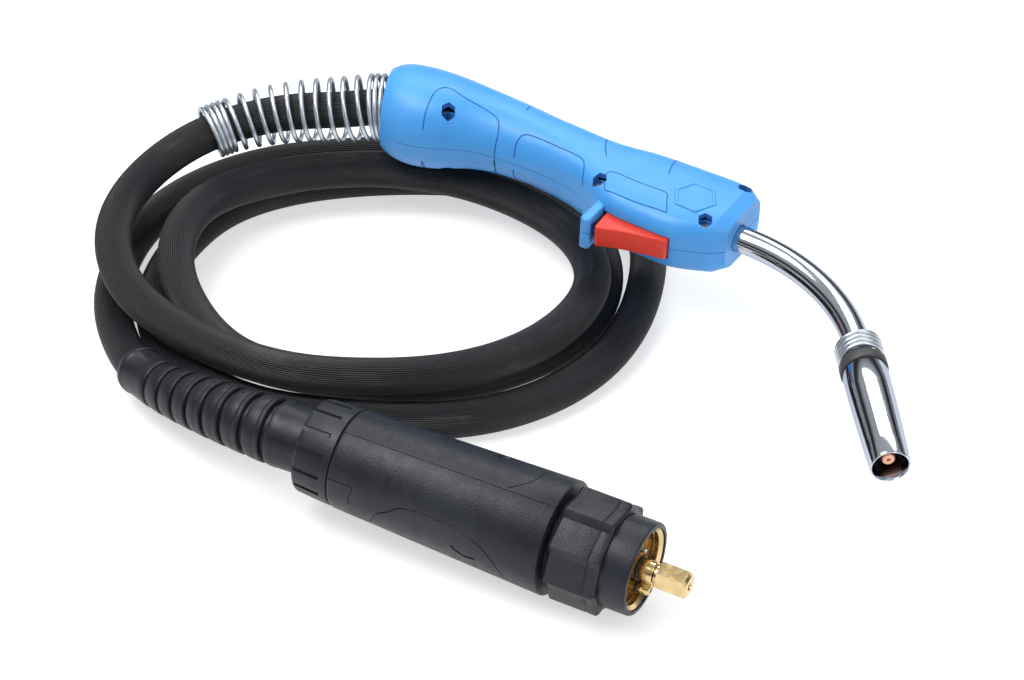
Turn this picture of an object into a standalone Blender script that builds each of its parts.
"""A MIG welding torch: trigger handle, swan neck and gas nozzle, a coiled hose, and a central connector.

Lengths are in millimetres and are turned into metres when a mesh is made. Each sub-assembly has its own
frame, an empty whose X axis runs along the piece: the handle's points to the neck, the nozzle's points
out of its mouth, and the plug's points out of its socket.
"""

import math

import bpy
import bmesh
import numpy as np
from mathutils import Euler, Vector

MM = 0.001
GAP = 0.3                      # clearance between pieces that touch

# Hose, laid in three and a bit loose turns. The route's points are its centre line.
HOSE_DIAMETER = 18.0
HOSE_R = HOSE_DIAMETER / 2
FLOOR = HOSE_R + 0.5           # height of the centre line where the hose lies on the floor
OVER = FLOOR + HOSE_DIAMETER + 1.2   # height of a turn that lies on another
HOSE_POINTS = 76
HOSE_IN_HANDLE = 26.0          # length held inside the handle
HOSE_ROUTE = [
    (-95, 109, 62.5), (-107.6, 105.3, 63), (-120.2, 101.7, 63.5), (-139, 94, 61), (-160, 85, 58.5), (-181, 72, 55),
    (-200, 52, 50), (-213, 23, 42),
    (-209, -13, 36), (-187, -40, 31), (-155, -55, 29), (-120, -61, OVER), (-86, -59, OVER),
    (-53, -47, OVER), (-22, -28, OVER), (2, -1, OVER), (14, 33, OVER), (10, 67, OVER),
    (-13, 92, OVER), (-46, 104, OVER), (-82, 106, OVER), (-116, 98, OVER), (-147, 81, OVER),
    (-172, 57, OVER), (-185, 27, 30), (-179, -6, 27), (-156, -31, 20), (-124, -43, 12),
    (-90, -39, FLOOR), (-56, -29, FLOOR), (-25, -12, FLOOR), (-1, 15, FLOOR), (12, 47, FLOOR),
    (9, 81, FLOOR), (-9, 111, FLOOR), (-40, 129, FLOOR), (-75, 134, FLOOR), (-109, 123, FLOOR),
    (-139, 106, FLOOR), (-166, 84, FLOOR), (-186, 54, FLOOR), (-191, 20, FLOOR), (-185, -15, FLOOR),
    (-166, -45, FLOOR), (-136, -63, FLOOR), (-101, -68, FLOOR), (-66, -60, FLOOR), (-33, -47, FLOOR),
    (-4, -29, FLOOR), (18, -3, FLOOR), (30.7, 30, FLOOR), (31.7, 65, FLOOR), (23.2, 100, FLOOR),
    (7, 130, FLOOR), (-24, 150, FLOOR), (-59, 156, FLOOR), (-93, 149, FLOOR), (-126, 136, FLOOR),
    (-157, 118, FLOOR), (-184, 97, FLOOR), (-205, 68, FLOOR), (-215, 34, FLOOR), (-212, -1, FLOOR),
    (-199, -34, FLOOR), (-177, -61, 12), (-150, -82, 18), (-117, -94, 25), (-82, -101, 31),
    (-47, -102, 31.8), (-9, -102, 30.6), (29, -102, 29.4),
]

# Handle: outline stations along X as (x, back edge y, trigger edge y, half thickness). Behind REAR_START
# the centre line turns towards the trigger side, so the rear opening faces down the hose.
HEAD_AT = (72.3, 96.8, 55.5)   # where the neck leaves the handle
HEAD_TURN = -4.2               # degrees about the vertical
HEAD_DROOP = 2.4               # degrees nose down
HANDLE_OUTLINE = [
    (-193, 14.5, -23.5, 19.0), (-189, 17.0, -26.0, 21.4), (-182, 18.6, -28.4, 23.0),
    (-172, 19.6, -29.2, 23.4), (-160, 20.6, -26, 22.6), (-150, 21.2, -20.5, 20.8), (-138, 21.8, -15.5, 19.0),
    (-120, 21.6, -12.6, 17.8), (-100, 19.6, -12.0, 17.2), (-84, 18.2, -14.0, 17), (-76, 18.2, -17, 17),
    (-68, 19.4, -21.5, 17), (-58, 21.4, -25.4, 17), (-40, 23.4, -26.4, 17), (-24, 24.3, -25.6, 17),
    (-14, 24.5, -21.8, 17), (-6, 24, -18, 16.6),
]
HANDLE_FRONT = (0, 20.5, -13.0, 13.6)  # the chamfered front face
WALL = 2.4
REAR_START, REAR_Y = -166.0, -4.5
REAR_TURN = math.radians(20)
REAR_LENGTH = 27.0
SOCKET_R = 17.9                # rear opening, round the support spring
SOCKET_DEPTH = 9.0
NECK_BORE_R = 6.8
SHELL_STATIONS = [-193, -188.5, -184, -183.2, -177, -169, -161, -153, -145, -135, -122, -108, -96, -87, -80,
                  -72, -64, -55, -42, -30, -21, -13.5, -6]
SHELL_ARC = 9                  # segments of each half section
FIN_X, FIN_THICK, FIN_Y, FIN_HALF_Z = -62.6, 4.8, -39.0, 9.0
HANDLE_SCREWS = [(-154.5, -14.5, 14.2), (-68.5, -15.5, 11.6), (-7.5, 17.5, 12.8),
                 (-11.5, -14.0, 12.3)]  # x, y and the height of the post
NUT_FLAT = 5.5
POCKET_FLAT = 6.4
NUT_SEAT_Z = 8.0

# Trigger, hinged at its front end.
PIVOT = (-27.6, -20.6)
TRIGGER_HALF_Z = 5.8
TRIGGER_OUTLINE = [
    (-24.3, -17.4), (-24.3, -28.2), (-31, -29.5), (-40, -31.6), (-49, -34.4), (-56.6, -37.6),
    (-58.3, -36.6), (-58.6, -25), (-58.2, -21.6), (-37, -21.6), (-32.5, -17.4),
]
SLOT_X = (-60.2, -23.7)
SLOT_HALF_Z = 6.3

# Neck: an arc in the handle's own plane, then straight to the nozzle.
NECK_R = 6.5
NECK_LEAD = 7.1
NECK_BEND_R = 97.0
NECK_BEND = math.radians(51.7)
NECK_INSIDE = 46.0             # length held inside the handle
NOZZLE_LENGTH = 82.3           # from the end of the bend to the nozzle's mouth
TIP_RECESS = 4.5               # how far the contact tip sits inside the mouth

# Support spring: tight coils at the handle, open coils, and tight coils at the free end.
SPRING_WIRE = 2.4
SPRING_TURNS_TIGHT, SPRING_TURNS_OPEN, SPRING_TURNS_END = 6, 10, 4
SPRING_LENGTH = 93.0

# Connector.
PLUG_AT = (120.7, -102.0, 26.5)  # middle of the socket's front rim
PLUG_DROOP = 1.8
SPLIT_TILT = 18.0              # how far the housing's split plane leans from upright
BOOT_LENGTH = 114.0
BOOT_GROOVES = 8
LOBES = 9
CAP_GROOVES = 14
PIN_PLACES = {"a": (7.1, -7.1), "b": (10.0, 0.9)}
NIPPLE_PLACE = (-1.0, -9.9)


def clear_scene():
    for obj in list(bpy.data.objects):
        bpy.data.objects.remove(obj, do_unlink=True)


def material(name, colour, roughness, metallic=0.0):
    made = bpy.data.materials.new(name)
    made.use_nodes = True
    shader = made.node_tree.nodes["Principled BSDF"]
    shader.inputs["Base Color"].default_value = (*colour, 1)
    shader.inputs["Roughness"].default_value = roughness
    shader.inputs["Metallic"].default_value = metallic
    made.diffuse_color = (*colour, 1)
    return made


def frame(name, at, turn=(0, 0, 0), parent=None):
    """An empty that carries a sub-assembly; turn is in degrees."""
    empty = bpy.data.objects.new(name, None)
    bpy.context.scene.collection.objects.link(empty)
    empty.location = Vector(at) * MM
    empty.rotation_euler = Euler([math.radians(a) for a in turn])
    empty.parent = parent
    return empty


def solid(name, points, faces, finish, parent, smooth=40):
    """One closed body from points in millimetres."""
    mesh = bpy.data.meshes.new(name)
    mesh.from_pydata([Vector(p) * MM for p in points], [], faces)
    shaper = bmesh.new()
    shaper.from_mesh(mesh)
    bmesh.ops.recalc_face_normals(shaper, faces=shaper.faces)
    shaper.to_mesh(mesh)
    shaper.free()
    mesh.shade_smooth()
    mesh.set_sharp_from_angle(angle=math.radians(smooth))
    obj = bpy.data.objects.new(name, mesh)
    bpy.context.scene.collection.objects.link(obj)
    obj.parent = parent
    if finish:
        obj.data.materials.append(finish)
    return obj


def cutter(obj):
    obj.hide_render = True
    obj.display_type = "WIRE"
    return obj


def combine(obj, other, operation):
    """Cut obj by other, or join other to it; other stays as a guide."""
    cutter(other)
    change = obj.modifiers.new(other.name, "BOOLEAN")
    change.operation = operation
    change.solver = "EXACT"
    change.object = other


def strip_faces(rows, count, closed_rows=False):
    """Quads between rows of count points, each row a closed ring."""
    faces = []
    for i in range(rows if closed_rows else rows - 1):
        for j in range(count):
            k = (j + 1) % count
            n = (i + 1) % rows
            faces.append((i * count + j, i * count + k, n * count + k, n * count + j))
    return faces


def loft(name, rings, finish, parent, smooth=40):
    """A body through rings of equal point count, capped at both ends."""
    count = len(rings[0])
    faces = strip_faces(len(rings), count)
    faces.append(tuple(range(count)))
    faces.append(tuple((len(rings) - 1) * count + j for j in range(count)))
    return solid(name, [p for ring in rings for p in ring], faces, finish, parent, smooth)


def turned(name, profile, finish, parent, segments=24, at=(0, 0), smooth=40):
    """A closed profile of (x, radius) turned about X, its axis at (y, z)."""
    rings = []
    for k in range(segments):
        angle = 2 * math.pi * k / segments
        rings.append([(x, at[0] + r * math.cos(angle), at[1] + r * math.sin(angle)) for x, r in profile])
    faces = strip_faces(segments, len(profile), closed_rows=True)
    return solid(name, [p for ring in rings for p in ring], faces, finish, parent, smooth)


def half_turned(name, profile, start, finish, parent, segments=13):
    """A closed profile of (x, radius) turned half a circle about X from the angle start, in degrees."""
    middle = math.radians(start + 90)
    shift = (math.cos(middle) * GAP / 2, math.sin(middle) * GAP / 2)
    rings = []
    for k in range(segments + 1):
        angle = math.radians(start) + math.pi * k / segments
        rings.append([(x, shift[0] + r * math.cos(angle), shift[1] + r * math.sin(angle))
                      for x, r in profile])
    return loft(name, rings, finish, parent)


def lathed(name, stack, finish, parent, segments=16, at=(0, 0), smooth=40):
    """A full round body from a stack of (x, radius), its axis at (y, z)."""
    rings = [[(x, at[0] + r * math.cos(2 * math.pi * k / segments), at[1] + r * math.sin(2 * math.pi * k / segments))
              for k in range(segments)] for x, r in stack]
    return loft(name, rings, finish, parent, smooth)


def bar(name, radius, x0, x1, parent, segments=12, at=(0, 0)):
    """A plain round bar along X, to cut a hole with."""
    return lathed(name, [(x0, radius), (x1, radius)], None, parent, segments, at)


def prism(name, outline, low, high, finish, parent, smooth=30):
    """An outline of (x, y) raised from z = low to z = high."""
    return loft(name, [[(x, y, z) for x, y in outline] for z in (low, high)], finish, parent, smooth)


def circle(x, y, radius, segments=16):
    return [(x + radius * math.cos(2 * math.pi * k / segments), y + radius * math.sin(2 * math.pi * k / segments))
            for k in range(segments)]


def hexagon(x, y, flat, phase=0.0):
    radius = flat / math.sqrt(3)
    return [(x + radius * math.cos(math.radians(60 * k + phase)), y + radius * math.sin(math.radians(60 * k + phase)))
            for k in range(6)]


def box(name, x, y, z, finish, parent):
    """A block between pairs of x, y and z."""
    outline = [(x[0], y[0]), (x[1], y[0]), (x[1], y[1]), (x[0], y[1])]
    return prism(name, outline, z[0], z[1], finish, parent)


def smooth_curve(points, samples):
    """A natural cubic spline through points, read at even steps of its parameter."""
    points = np.array(points, float)
    along = np.concatenate([[0], np.cumsum(np.linalg.norm(np.diff(points, axis=0), axis=1))])
    step = np.diff(along)
    count = len(points)
    system, right = np.eye(count), np.zeros_like(points)
    for i in range(1, count - 1):
        system[i, i - 1:i + 2] = step[i - 1], 2 * (step[i - 1] + step[i]), step[i]
        right[i] = 6 * ((points[i + 1] - points[i]) / step[i] - (points[i] - points[i - 1]) / step[i - 1])
    bend = np.linalg.solve(system, right)
    t = np.linspace(0, along[-1], samples)
    i = np.clip(np.searchsorted(along, t, side="right") - 1, 0, count - 2)
    a = ((along[i + 1] - t) / step[i])[:, None]
    b = 1 - a
    return a * points[i] + b * points[i + 1] + ((a**3 - a) * bend[i] + (b**3 - b) * bend[i + 1]) * (step[i]**2)[:, None] / 6


def along_line(line):
    return np.concatenate([[0], np.cumsum(np.linalg.norm(np.diff(line, axis=0), axis=1))])


def points_at(line, distances):
    """Points of a fine line at distances from its start."""
    length = along_line(line)
    return np.stack([np.interp(distances, length, line[:, axis]) for axis in range(3)], axis=1)


def frames_along(path):
    """Two unit vectors across each point of a path, carried along it without twist."""
    path = [Vector(p) for p in path]
    tangents = []
    for i in range(len(path)):
        ahead, behind = path[min(i + 1, len(path) - 1)], path[max(i - 1, 0)]
        tangents.append((ahead - behind).normalized())
    side = tangents[0].cross(Vector((0, 0, 1))).normalized()
    across = []
    for tangent in tangents:
        side = (side - tangent * side.dot(tangent)).normalized()
        across.append((side, tangent.cross(side)))
    return across


def swept(name, path, radii, bore, finish, parent, sides=12):
    """A round body along a path with its own radius at each point; bore is the (path, radius) of its hole."""
    def rings_of(line, sizes):
        rings = []
        for middle, (side, up), size in zip(line, frames_along(line), sizes):
            rings.append([Vector(middle) + (side * math.cos(2 * math.pi * k / sides)
                                            + up * math.sin(2 * math.pi * k / sides)) * size
                          for k in range(sides)])
        return rings

    bore_path, bore_r = bore
    rings = rings_of(path, radii) + rings_of(bore_path, [bore_r] * len(bore_path))[::-1]
    faces = strip_faces(len(rings), sides, closed_rows=True)
    return solid(name, [p for one in rings for p in one], faces, finish, parent)


def wire(name, points, thickness, finish, parent, resolution=1):
    """A round wire through points, with filled ends."""
    curve = bpy.data.curves.new(name, "CURVE")
    curve.dimensions = "3D"
    curve.bevel_depth = thickness / 2 * MM
    curve.bevel_resolution = resolution
    curve.use_fill_caps = True
    spline = curve.splines.new("POLY")
    spline.points.add(len(points) - 1)
    for point, place in zip(spline.points, points):
        point.co = (*(Vector(place) * MM), 1)
    curve.materials.append(finish)
    obj = bpy.data.objects.new(name, curve)
    bpy.context.scene.collection.objects.link(obj)
    obj.parent = parent
    return obj


def helix(radius, x0, x1, turns, steps=8, at=(0, 0)):
    count = round(turns * steps)
    return [(x0 + (x1 - x0) * i / count, at[0] + radius * math.cos(2 * math.pi * i / steps),
             at[1] + radius * math.sin(2 * math.pi * i / steps)) for i in range(count + 1)]


def hose_line():
    return smooth_curve(HOSE_ROUTE, 2400)


def hose_points():
    """The tube's own points, evenly spaced along the smooth line."""
    line = hose_line()
    return points_at(line, np.linspace(0, along_line(line)[-1], HOSE_POINTS))


def make_hose(finish):
    wire("hose", hose_points(), HOSE_DIAMETER, finish, None, resolution=2)


# ---------------------------------------------------------------- handle

def handle_stations():
    """Outline stations from a smooth curve through HANDLE_OUTLINE, then the front face."""
    curve = smooth_curve(HANDLE_OUTLINE, 400)
    stations = [(x, *[float(np.interp(x, curve[:, 0], curve[:, axis])) for axis in (1, 2, 3)])
                for x in SHELL_STATIONS]
    return stations + [HANDLE_FRONT]


def rear_bend(x, y):
    """Where a point of the straight outline lies once the handle's rear end is turned."""
    if x >= REAR_START:
        return x, y
    radius = REAR_LENGTH / REAR_TURN
    turn = (REAR_START - x) / radius
    reach = radius + y - REAR_Y
    return REAR_START - reach * math.sin(turn), REAR_Y - radius + reach * math.cos(turn)


def arc_point(angle, centre, half_width, half_depth, power):
    c, s = math.cos(angle), math.sin(angle)
    y = centre + half_width * math.copysign(abs(c) ** (2 / power), c)
    return y, half_depth * abs(s) ** (2 / power)


def squareness(x):
    """Exponent of the section's superellipse: round at the rear, square at the front."""
    return 2.2 + 1.6 * min(1, max(0, (x + 110) / 50))


def shell_ring(station, side):
    x, back, edge, half = station
    centre, width = (back + edge) / 2, (back - edge) / 2
    power = squareness(x)
    inner = (centre, width - WALL, half - WALL, power)
    if x <= SHELL_STATIONS[0] + SOCKET_DEPTH:
        inner = (REAR_Y, SOCKET_R, SOCKET_R, 2)
    if x > -9:
        inner = (0, NECK_BORE_R, NECK_BORE_R, 2)
    ring = []
    for k in range(SHELL_ARC + 1):
        y, z = arc_point(math.pi * k / SHELL_ARC, centre, width, half, power)
        ring.append((*rear_bend(x, y), side * max(z, GAP / 2)))
    for k in reversed(range(SHELL_ARC + 1)):
        y, z = arc_point(math.pi * k / SHELL_ARC, *inner)
        ring.append((*rear_bend(x, y), side * max(z, GAP / 2)))
    return ring


def handle_shell(name, side, finish, head):
    """One half of the handle: side is 1 above the parting plane and -1 below it."""
    shell = loft(name, [shell_ring(s, side) for s in handle_stations()], finish, head)
    low, high = sorted((side * GAP / 2, side * FIN_HALF_Z))
    fin = prism(name + "_fin", [(FIN_X - FIN_THICK / 2, -19.5), (FIN_X - FIN_THICK / 2, FIN_Y + 1.5),
                                (FIN_X - FIN_THICK / 2 + 1.2, FIN_Y), (FIN_X + FIN_THICK / 2 - 0.8, FIN_Y),
                                (FIN_X + FIN_THICK / 2, FIN_Y + 1.5), (FIN_X + FIN_THICK / 2, -19.5)],
                low, high, None, head)
    combine(shell, fin, "UNION")
    for number, (x, y, height) in enumerate(HANDLE_SCREWS, 1):
        low, high = sorted((side * GAP / 2, side * height))
        post = prism(f"{name}_post_{number}", circle(x, y, 4.0, 12), low, high, None, head)
        combine(shell, post, "UNION")
    low, high = sorted((side * 6.5, side * 11.4))
    combine(shell, prism(name + "_pin_post", circle(*PIVOT, 3.3, 12), low, high, None, head), "UNION")
    if side > 0:
        badge = prism(name + "_badge", hexagon(-23, -3.5, 17), 15.5, 17.5, None, head)
        combine(shell, badge, "UNION")
    for number, (x, y, _) in enumerate(HANDLE_SCREWS, 1):
        low, high = sorted((-side * 1, side * 30))
        hole = prism(f"{name}_hole_{number}", circle(x, y, 1.85, 10), low, high, None, head)
        combine(shell, hole, "DIFFERENCE")
        low, high = sorted((side * NUT_SEAT_Z, side * 30))
        outline = hexagon(x, y, POCKET_FLAT) if side > 0 else circle(x, y, 3.3, 12)
        combine(shell, prism(f"{name}_pocket_{number}", outline, low, high, None, head), "DIFFERENCE")
    slot = box(name + "_slot", SLOT_X, (-40, -18.5), (-SLOT_HALF_Z, SLOT_HALF_Z), None, head)
    combine(shell, slot, "DIFFERENCE")
    pin_hole = prism(name + "_pin_hole", circle(*PIVOT, 1.8, 10), -10.4, 10.4, None, head)
    combine(shell, pin_hole, "DIFFERENCE")
    return shell


def handle_fasteners(steel, head):
    """A hexagon nut in each upper pocket and its screw from below."""
    for number, (x, y, _) in enumerate(HANDLE_SCREWS, 1):
        nut = prism(f"handle_nut_{number}", hexagon(x, y, NUT_FLAT), NUT_SEAT_Z + GAP, NUT_SEAT_Z + 2.7, steel, head)
        combine(nut, prism(f"handle_nut_{number}_bore", circle(x, y, 1.75, 10), 0, 30, None, head), "DIFFERENCE")
        top, seat, foot = NUT_SEAT_Z + 3.4, -NUT_SEAT_Z - GAP, -NUT_SEAT_Z - 2.6
        rings = [[(px, py, z) for px, py in circle(x, y, r, 12)]
                 for z, r in ((top, 1.1), (top - 0.5, 1.45), (seat, 1.45), (seat, 2.75), (foot, 2.75))]
        loft(f"handle_screw_{number}", rings, steel, head)


def make_trigger(red, steel, head):
    pivot = frame("trigger_pivot", (*PIVOT, 0), parent=head)
    outline = [(x - PIVOT[0], y - PIVOT[1]) for x, y in TRIGGER_OUTLINE]
    trigger = prism("trigger", outline, -TRIGGER_HALF_Z, TRIGGER_HALF_Z, red, pivot)
    combine(trigger, prism("trigger_bore", circle(0, 0, 1.85, 12), -9, 9, None, pivot), "DIFFERENCE")
    combine(trigger, box("trigger_notch", (-8.5, 4), (-3.9, 6), (-2.9, 2.9), None, pivot), "DIFFERENCE")
    prism("trigger_pin", circle(*PIVOT, 1.5, 12), -9.6, 9.6, steel, head)
    turns, steps, coil_r = 4, 8, 2.5
    coil = [(coil_r * math.cos(2 * math.pi * i / steps), coil_r * math.sin(2 * math.pi * i / steps),
             -1.9 + 3.8 * i / (turns * steps)) for i in range(turns * steps + 1)]
    legs = [(-1.5, 7.2, -1.9), (2.5, 5.0, -1.9)] + coil + [(1.2, -3.3, 1.9), (-7.6, -3.2, 1.9)]
    wire("trigger_spring", legs, 0.7, steel, pivot, 0)


def make_switch(black, head):
    body = box("switch_body", (-54, -37), (-18.2, -10.2), (-3.6, 3.6), black, head)
    combine(body, box("switch_body_well", (-49.9, -46.1), (-19, -13.6), (-1.9, 1.9), None, head), "DIFFERENCE")
    plunger = frame("plunger_axis", (-48, -21.2, 0), parent=head)
    box("switch_plunger", (-1.6, 1.6), (0, 4.2), (-1.6, 1.6), black, plunger)
    for name, z in (("a", 2.4), ("b", -2.4)):
        lead = smooth_curve([(-54.3, -13, z), (-62, -11.6, z * 1.7), (-72, -8, z * 3.3), (-84, -5, z * 4),
                             (-100, -1, z * 3.8), (-118, 3, z * 3.2)], 12)
        wire(f"switch_lead_{name}", lead, 1.8, black, head)


def neck_path(start, stop, count):
    """Points of the neck's centre line; distances count from the handle's front face."""
    bend_length = NECK_BEND_R * NECK_BEND
    points = []
    for i in range(count):
        s = start + (stop - start) * i / (count - 1)
        turn = min(max(s - NECK_LEAD, 0), bend_length) / NECK_BEND_R
        straight = max(0, s - NECK_LEAD - bend_length)
        x = min(s, NECK_LEAD) + NECK_BEND_R * math.sin(turn) + straight * math.cos(turn)
        y = -NECK_BEND_R * (1 - math.cos(turn)) - straight * math.sin(turn)
        points.append(Vector((x, y, 0)))
    return points


def make_neck(finishes, head):
    bend_length = NECK_BEND_R * NECK_BEND
    path = neck_path(-NECK_INSIDE, NECK_LEAD + bend_length + 26, 14)
    swept("neck_tube", path, [NECK_R] * len(path), (path, 5.2), finishes["chrome"], head)
    core = neck_path(-NECK_INSIDE, NECK_LEAD + bend_length + 24, 12)
    swept("neck_conductor", core, [4.0] * len(core), (core, 2.4), finishes["copper"], head, sides=8)
    block = [(-72.5, 3.0), (-72.5, 7.6), (-66, 7.6), (-66, 8.9), (-31, 8.9), (-31, NECK_R + GAP),
             (-47, NECK_R + GAP), (-47, 3.0)]
    turned("neck_block", block, finishes["brass"], head, 14)
    nut = loft("cable_union_nut", [[(x, y, z) for y, z in hexagon(0, 0, 14, 30)] for x in (-88, -73)],
               finishes["brass"], head)
    combine(nut, bar("cable_union_nut_bore", 4.3, -90, -70, head), "DIFFERENCE")
    cable = smooth_curve([(-152.8, 5.3, 0), (-145, 7.6, 0), (-132, 8, 0), (-114, 4.5, 0), (-99, 1, 0),
                          (-86, 0, 0), (-75, 0, 0)], 12)
    wire("power_cable_tail", cable, 7.0, finishes["rubber"], head, resolution=1)


def make_front_end(finishes, nozzle):
    """The neck's end, the contact tip and the gas nozzle, along the nozzle's axis."""
    wire("nozzle_spring", helix(10.0, 1.4, 12.4, 4, 10), 2.4, finishes["chrome"], nozzle, 0)
    ring = [(13.9, NECK_R + GAP), (13.9, 10.9), (14.4, 11.3), (19.2, 11.3), (19.7, 10.9), (19.7, NECK_R + GAP)]
    turned("nozzle_ring", ring, finishes["dark"], nozzle, 20)
    sleeve = [(20.0, NECK_R + GAP), (20.0, 8.5), (33.8, 8.5), (33.8, 6.6), (26.4, 6.6), (26.4, NECK_R + GAP)]
    turned("neck_insulator", sleeve, finishes["dark"], nozzle, 16)
    holder = [(26.4, 2.0), (26.4, 6.2), (32.6, 6.2), (32.6, 5.4), (44, 5.4), (44, 2.9), (37, 2.9), (37, 2.0)]
    turned("tip_holder", holder, finishes["brass"], nozzle, 16)
    diffuser = [(34.4, 5.8), (34.4, 8.3), (48, 8.3), (49, 7.4), (49, 5.8)]
    turned("gas_diffuser", diffuser, finishes["white"], nozzle, 16)
    end = NOZZLE_LENGTH - TIP_RECESS
    tip = [(37.4, 0.7), (37.4, 2.6), (44.4, 2.6), (44.4, 4.0), (end - 7.5, 4.0), (end - 0.5, 3.1), (end, 2.7), (end, 0.7)]
    turned("contact_tip", tip, finishes["copper"], nozzle, 16)
    inner_rear, inner_mouth = 8.85, 8.25
    cup = [(20.3, inner_rear), (20.3, 10.5), (20.8, 10.8), (50, 10.4), (71, 9.8), (NOZZLE_LENGTH - 0.8, 9.3),
           (NOZZLE_LENGTH, 9.0), (NOZZLE_LENGTH, inner_mouth), (71, inner_mouth), (56, inner_rear)]
    turned("gas_nozzle", cup, finishes["chrome"], nozzle, 28)


def make_cable_end(finishes, cable):
    """What holds the hose in the handle, along the cable's own axis."""
    seat = [(1.5, 10.3), (1.5, 13.2), (12.0, 13.2), (12.0, 18.6), (14.6, 18.6), (14.6, 10.3)]
    turned("spring_seat", seat, finishes["steel"], cable, 16)
    ferrule = [(15.2, HOSE_R + 1.3), (15.2, 11.7), (32, 11.7), (35, 4.6), (41, 4.6), (41, 2.0),
               (27.6, 2.0), (27.6, HOSE_R + 1.3)]
    turned("front_ferrule", ferrule, finishes["steel"], cable, 14)


def make_support_spring(finish):
    """Coils that follow the hose out of the handle."""
    line = hose_line()
    turns = SPRING_TURNS_TIGHT + SPRING_TURNS_OPEN + SPRING_TURNS_END
    tight = SPRING_WIRE + 0.25
    start = HOSE_IN_HANDLE - SOCKET_DEPTH + 1.0
    open_pitch = (SPRING_LENGTH - (SPRING_TURNS_TIGHT - 2 + SPRING_TURNS_END) * tight) / SPRING_TURNS_OPEN
    steps = 8
    distances, radii = [], []
    s = start
    for i in range(turns * steps + 1):
        turn = i / steps
        distances.append(s)
        if turn < SPRING_TURNS_TIGHT:
            radii.append(15.7)
            s += tight / steps
        elif turn < SPRING_TURNS_TIGHT + SPRING_TURNS_OPEN:
            part = (turn - SPRING_TURNS_TIGHT) / SPRING_TURNS_OPEN
            radii.append(15.7 - 3.1 * part ** 1.4)
            s += open_pitch / steps
        else:
            radii.append(12.6)
            s += tight / steps
    path = points_at(line, distances)
    across = frames_along(path)
    points = []
    for i, (middle, (side, up)) in enumerate(zip(path, across)):
        angle = 2 * math.pi * i / steps
        points.append(Vector(middle) + (side * math.cos(angle) + up * math.sin(angle)) * radii[i])
    wire("support_spring", points, SPRING_WIRE, finish, None, resolution=0)


# ---------------------------------------------------------------- connector

def nut_ring(x, shrink=0.0):
    """The adaptor nut's lobed outline at x: flats that rise to a ridge, then a step down."""
    ring = []
    for k in range(LOBES):
        for offset, radius in ((0, 24.7), (30, 27.0)):
            angle = math.radians(100 + 360 / LOBES * k + 12 + offset)
            ring.append((x, (radius - shrink) * math.cos(angle), (radius - shrink) * math.sin(angle)))
    return ring


def make_adaptor_nut(black, brass, plug):
    rings = [nut_ring(-38.5, 1.0), nut_ring(-37.6), nut_ring(-14.2), nut_ring(-13.2, 1.0)]
    nut = loft("adaptor_nut", rings, black, plug, smooth=20)
    collar = [(-15.0, 17.0), (-15.0, 22.0), (-1.2, 22.0), (0, 21.2), (0, 17.0)]
    combine(nut, turned("adaptor_nut_collar", collar, None, plug, 32), "UNION")
    inside = [(1, 19.6), (-17, 19.6), (-17, 15.1), (-22, 15.1), (-22, 20.6), (-40, 20.6)]
    combine(nut, lathed("adaptor_nut_inside", inside, None, plug, 32), "DIFFERENCE")
    ring = [(-16.7, 18.0), (-16.7, 19.3), (-0.3, 19.3), (-0.3, 18.3), (-1.2, 17.9)]
    turned("nut_thread_ring", ring + [(-15.5, 17.9)], brass, plug, 28)


def make_plug_body(finishes, plug):
    body = [(-10, 5.5), (-10, 17.0), (-10.4, 17.4), (-16.4, 17.4), (-16.4, 14.6), (-50, 14.6), (-50, 15.5),
            (-53, 15.5), (-53, 9.0), (-70, 9.0), (-70, 3.0), (-21, 3.0), (-21, 5.5)]
    made = turned("plug_body", body, finishes["brass"], plug, 22)
    for name, place in PIN_PLACES.items():
        hole = bar(f"plug_body_hole_{name}", 2.7, -36, -8, plug, at=place)
        combine(made, hole, "DIFFERENCE")
    combine(made, bar("plug_body_nipple_hole", 3.25, -20, -8, plug, at=NIPPLE_PLACE), "DIFFERENCE")
    turned("nut_clip", [(-24.3, 14.9), (-24.3, 18.6), (-22.9, 18.6), (-22.9, 14.9)], finishes["steel"], plug, 20)
    pin = [(-20.5, 1.7), (-20.5, 5.2), (-3.6, 5.2), (-3.6, 4.3), (-1.4, 4.3), (-1.4, 5.2), (4.4, 5.2), (5, 4.7),
           (5, 1.7)]
    turned("centre_pin", pin, finishes["brass"], plug, 16)
    ring = [(-2.5 + 0.85 * math.cos(a), 5.3 + 0.85 * math.sin(a))
            for a in [math.pi * k / 3 for k in reversed(range(6))]]
    turned("pin_o_ring", ring, finishes["rubber"], plug, 16)
    nipple = [(-19.5, 1.3), (-19.5, 2.95), (-3.8, 2.95), (-3.8, 2.3), (-2.2, 2.3), (-2.2, 2.95), (2.7, 2.95),
              (3.5, 2.3), (3.5, 1.3)]
    turned("gas_nipple", nipple, finishes["brass"], plug, 12, NIPPLE_PLACE)
    ring = [(-3.0 + 0.65 * math.cos(a), 3.05 + 0.65 * math.sin(a))
            for a in [math.pi * k / 3 for k in reversed(range(6))]]
    turned("nipple_o_ring", ring, finishes["rubber"], plug, 12, NIPPLE_PLACE)


def make_liner_nut(brass, plug):
    """Hexagon nut that holds the wire liner in the centre pin."""
    nut = loft("liner_nut", [[(x, y, z) for y, z in hexagon(0, 0, 12, 12)] for x in (7, 21.5)], brass, plug)
    combine(nut, lathed("liner_nut_chamfer", [(4, 9), (19.6, 9), (22, 4.8)], None, plug, 24), "INTERSECT")
    combine(nut, bar("liner_nut_neck", 4.6, 5.3, 7.5, plug, 20), "UNION")
    combine(nut, bar("liner_nut_bore", 1.7, 4, 23, plug), "DIFFERENCE")


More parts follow.
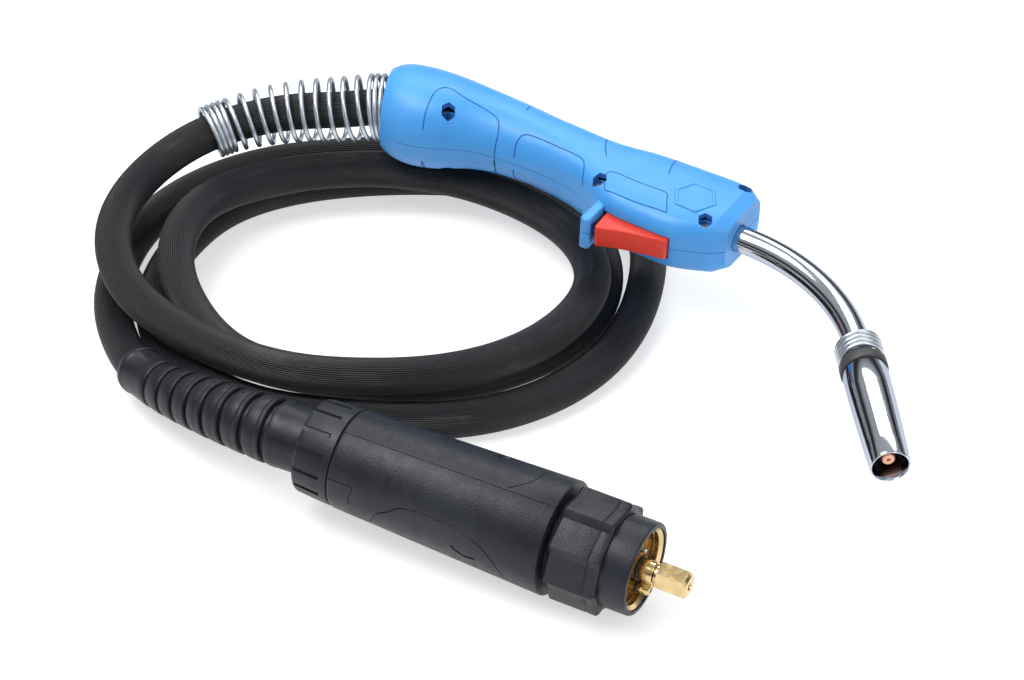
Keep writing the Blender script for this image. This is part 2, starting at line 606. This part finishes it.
def make_contact_pins(finishes, plug):
    """Two sprung pins for the trigger's circuit, each in an insulating sleeve."""
    for name, place in PIN_PLACES.items():
        sleeve = [(-35.4, 0.5), (-35.4, 2.4), (-9.4, 2.4), (-9.4, 1.55), (-34.2, 1.55), (-34.2, 0.5)]
        turned(f"pin_sleeve_{name}", sleeve, finishes["dark"], plug, 12, place)
        axis = frame(f"pin_axis_{name}", (-4.6, *place), parent=plug)
        lathed(f"contact_pin_{name}", [(-17.4, 1.25), (-0.4, 1.25), (0, 0.9)], finishes["steel"], axis, 12)
        wire(f"pin_spring_{name}", helix(1.05, -33.8, -22.5, 5, 6, place), 0.4, finishes["steel"], plug, 0)


def housing_half(name, start, finish, plug):
    """One half of the connector's housing, split along its length."""
    profile = [(-35.8, 14.9), (-35.8, 20.1), (-41.2, 20.1), (-41.2, 26.3), (-41.8, 27.0), (-147.6, 23.4), (-149.2, 22.8), (-149.2, 19.0),
               (-162.8, 19.0), (-162.8, 16.4), (-100, 18.8), (-57, 21.6), (-57, 9.4), (-53.4, 9.4),
               (-53.4, 15.9), (-49.6, 15.9), (-49.6, 14.9)]
    half = half_turned(name, profile, start, finish, plug)
    return half


def housing_boss_frame(name, x, across, plug):
    """An empty on a housing screw's axis; its Z axis crosses the split plane."""
    lean = math.radians(SPLIT_TILT)
    return frame(name, (x, across * -math.sin(lean), across * math.cos(lean)), (SPLIT_TILT - 90, 0, 0), plug)


def make_housing(black, steel, plug):
    split = 90 + SPLIT_TILT
    near = housing_half("housing_near_half", split, black, plug)
    far = housing_half("housing_far_half", split - 180, black, plug)
    for number, (x, across) in enumerate(((-78, 16.4), (-128, -15.6)), 1):
        axis = housing_boss_frame(f"housing_screw_axis_{number}", x, across, plug)
        for half, side in ((near, -1), (far, 1)):
            low, high = sorted((side * GAP / 2, side * 12.5))
            post = prism(f"{half.name}_post_{number}", circle(0, 0, 3.3, 12), low, high, None, axis)
            combine(half, post, "UNION")
        combine(near, prism(f"near_hole_{number}", circle(0, 0, 1.75, 10), -9, 1, None, axis), "DIFFERENCE")
        combine(far, prism(f"far_hole_{number}", circle(0, 0, 1.75, 10), -1, 30, None, axis), "DIFFERENCE")
        combine(far, prism(f"far_pocket_{number}", circle(0, 0, 3.1, 12), 8, 30, None, axis), "DIFFERENCE")
        rings = [[(px, py, z) for px, py in circle(0, 0, r, 12)]
                 for z, r in ((-8.4, 1.0), (-7.6, 1.4), (8.3, 1.4), (8.3, 2.7), (10, 2.7))]
        loft(f"housing_screw_{number}", rings, steel, axis)


def make_cable_clamp(finishes, plug):
    """The crimped ferrule on the hose's end and the cap nut that holds the boot."""
    ferrule = [(-70.4, 3.0), (-70.4, 8.6), (-88, 8.6), (-90, 11.9), (-114, 11.9), (-114, HOSE_R + 1.1),
               (-91.3, HOSE_R + 1.1), (-91.3, 3.0)]
    turned("rear_ferrule", ferrule, finishes["steel"], plug, 14)
    rings = []
    for x, outer, groove in ((-149.6, 23.2, 0), (-153, 23.2, 0), (-153.6, 23.1, 1.0), (-166.4, 22.2, 1.0),
                             (-168.2, 21.4, 1.0)):
        ring = []
        for k in range(CAP_GROOVES):
            for offset, cut in ((-5, 0), (-3, groove), (3, groove), (5, 0)):
                angle = math.radians(45.9 + 46.6 + 360 / CAP_GROOVES * k + offset)
                ring.append((x, (outer - cut) * math.cos(angle), (outer - cut) * math.sin(angle)))
        rings.append(ring)
    nut = loft("cap_nut", rings, finishes["black"], plug)
    inside = [(-148, 19.7), (-166.2, 19.7), (-166.2, 16.6), (-170, 16.6)]
    combine(nut, lathed("cap_nut_inside", inside, None, plug, 24), "DIFFERENCE")


def make_boot(finish):
    """Bend boot: a plain neck in the cap nut, then a cone with grooves round it down to the hose."""
    line = hose_line()
    tube = hose_points()
    end_to_cap = 76.4          # from the hose's end to the cap nut's rear face, along the hose
    flange = 4.0
    sections = [(-flange, 18.4), (1.4 - flange, 18.4), (1.4 - flange, 15.5), (10, 15.5)]
    for k in range(BOOT_GROOVES):
        part = k / (BOOT_GROOVES - 1)
        x = 19.5 + 11.3 * k - 0.13 * k * k   # the grooves lie closer together towards the hose
        crest, depth, half = 15.7 - 3.9 * part, 2.4 - 1.4 * part, 1.3 - 0.5 * part
        sections += [(x - half - 0.4, crest), (x - half, crest - depth), (x + half, crest - depth),
                     (x + half + 0.4, crest)]
    sections += [(BOOT_LENGTH - 3.4, 11.4), (BOOT_LENGTH - 3.0, 11.9), (BOOT_LENGTH - 0.7, 11.8), (BOOT_LENGTH, 11.2)]
    cap_place = along_line(line)[-1] - end_to_cap
    outside = points_at(line, [cap_place - s for s, _ in sections])
    tube_cap = along_line(tube)[-1] - end_to_cap
    vertices = [s for s in along_line(tube) if tube_cap - BOOT_LENGTH + 2 < s < tube_cap + flange - 2]
    bore_places = [tube_cap + flange, *reversed(vertices), tube_cap - BOOT_LENGTH]
    bore = (points_at(tube, bore_places), HOSE_R + GAP + 0.55)
    swept("bend_boot", outside, [r for _, r in sections], bore, finish, None)


def main():
    clear_scene()
    finishes = {
        "blue": material("blue_plastic", (0.05, 0.30, 0.75), 0.5),
        "red": material("red_plastic", (0.75, 0.06, 0.04), 0.5),
        "black": material("black_plastic", (0.03, 0.03, 0.035), 0.55),
        "dark": material("dark_insulation", (0.05, 0.05, 0.05), 0.6),
        "white": material("white_ceramic", (0.85, 0.83, 0.78), 0.5),
        "rubber": material("black_rubber", (0.03, 0.03, 0.035), 0.75),
        "chrome": material("chrome_plate", (0.75, 0.76, 0.78), 0.1, 1.0),
        "steel": material("zinc_steel", (0.6, 0.62, 0.64), 0.35, 1.0),
        "brass": material("brass", (0.76, 0.55, 0.22), 0.25, 1.0),
        "copper": material("copper", (0.80, 0.42, 0.26), 0.35, 1.0),
    }
    make_hose(finishes["rubber"])

    head = frame("torch_head", HEAD_AT, (0, HEAD_DROOP, HEAD_TURN))
    handle_shell("handle_upper_shell", 1, finishes["blue"], head)
    handle_shell("handle_lower_shell", -1, finishes["blue"], head)
    handle_fasteners(finishes["steel"], head)
    make_trigger(finishes["red"], finishes["steel"], head)
    make_switch(finishes["black"], head)
    make_neck(finishes, head)
    cable = frame("cable_axis", (*rear_bend(SHELL_STATIONS[0], REAR_Y), 0), (0, 0, math.degrees(REAR_TURN)), head)
    make_cable_end(finishes, cable)
    make_support_spring(finishes["steel"])
    bend_end = neck_path(0, NECK_LEAD + NECK_BEND_R * NECK_BEND, 2)[-1]
    nozzle = frame("nozzle_axis", bend_end, (0, 0, -math.degrees(NECK_BEND)), head)
    make_front_end(finishes, nozzle)

    plug = frame("plug_axis", PLUG_AT, (0, PLUG_DROOP, 0))
    make_adaptor_nut(finishes["black"], finishes["brass"], plug)
    make_plug_body(finishes, plug)
    make_liner_nut(finishes["brass"], plug)
    make_contact_pins(finishes, plug)
    make_housing(finishes["black"], finishes["steel"], plug)
    make_cable_clamp(finishes, plug)
    make_boot(finishes["rubber"])


main()
